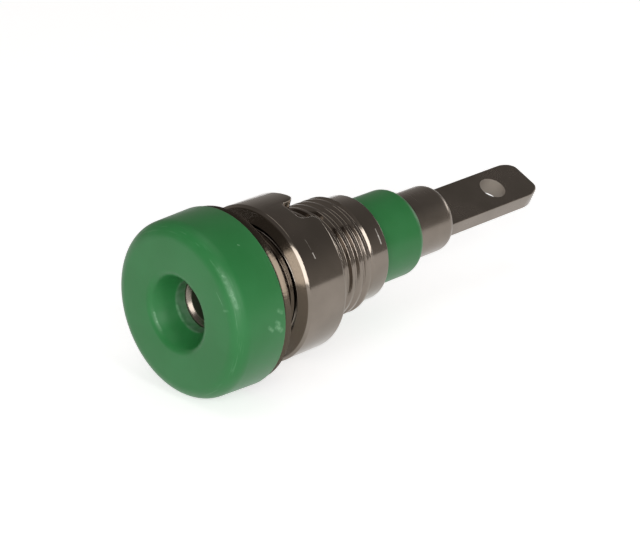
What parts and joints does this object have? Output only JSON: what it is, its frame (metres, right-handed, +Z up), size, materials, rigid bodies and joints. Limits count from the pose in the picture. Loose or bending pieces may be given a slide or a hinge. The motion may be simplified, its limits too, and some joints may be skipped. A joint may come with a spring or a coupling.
{
  "type": "banana socket",
  "caption": "Insulated panel socket for a small banana plug: moulded cap with a lead-in, threaded bush with flange, slotted ring nut, rear collar and a flat solder tab.",
  "frame": {"origin": "on the axis, in the plane where the back of the flange sits on the panel", "axes": "+Y along the axis from the mouth to the solder tab, +Z up, +X to the right seen from the front"},
  "size_m": [0.009, 0.0251, 0.009],
  "materials": {
    "insulation": "satin moulded green plastic",
    "nickel_plate": "bright nickel plate on turned brass"
  },
  "bodies": {
    "socket": {"front_insulator": "insulation", "threaded_bush": "nickel_plate", "rear_insulator": "insulation", "socket_contact": "nickel_plate"},
    "nut": {"ring_nut": "nickel_plate"}
  },
  "joints": [
    {"name": "nut_travel", "type": "slide", "parent": "socket", "child": "nut", "axis": [0, 1, 0], "range_m": [-0.0015, 0.0048]}
  ]
}
